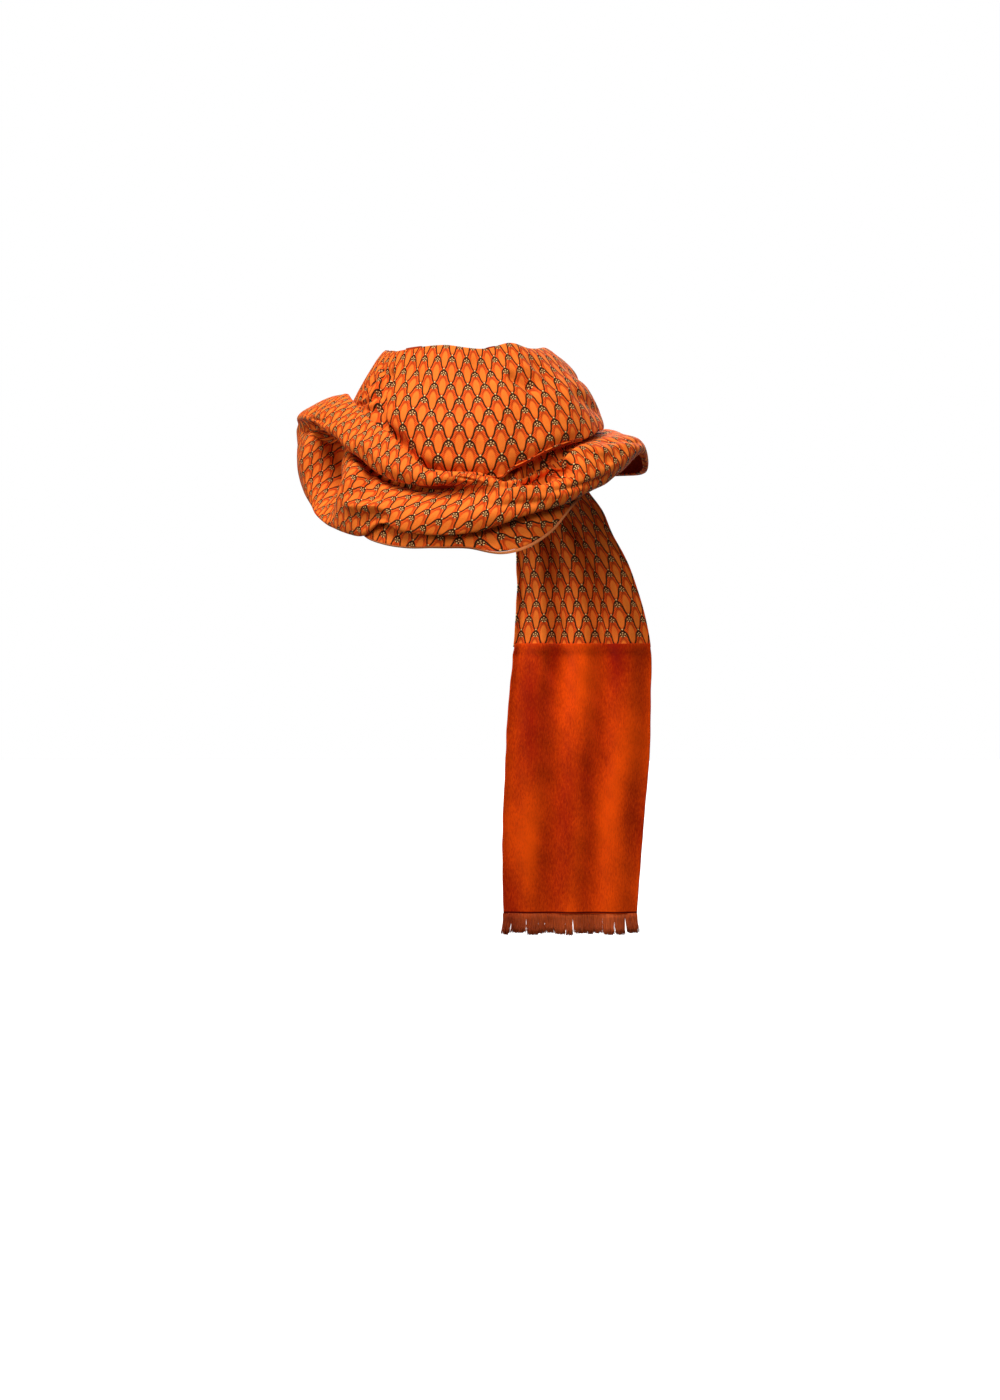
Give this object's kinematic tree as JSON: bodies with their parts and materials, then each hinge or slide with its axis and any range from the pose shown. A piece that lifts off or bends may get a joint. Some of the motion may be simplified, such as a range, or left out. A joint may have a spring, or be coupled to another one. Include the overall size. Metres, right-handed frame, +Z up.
{
  "type": "long scarf",
  "caption": "Long printed scarf worn wound round the neck, its plain fringed end hanging down the back",
  "frame": {"origin": "on the neck's axis, at the height where the neck meets the shoulders", "axes": "+Z up the neck, -Y towards the wearer's front, +X towards the wearer's left"},
  "size_m": [0.3209, 0.2652, 0.5313],
  "materials": {
    "printed_cloth": "fine orange foulard print with a soft sheen",
    "plain_wool": "burnt orange brushed wool",
    "wool_lip": "salmon wool edge, slightly fuzzy",
    "fringe_wool": "brushed wool fringe, dusty salmon brown"
  },
  "bodies": {
    "root": {"collar_wrap": "printed_cloth", "front_drape": "printed_cloth", "under_turn": "printed_cloth", "wool_edge": "wool_lip", "tail_printed": "printed_cloth", "tail_plain": "plain_wool", "tail_fringe": "fringe_wool"}
  },
  "joints": []
}
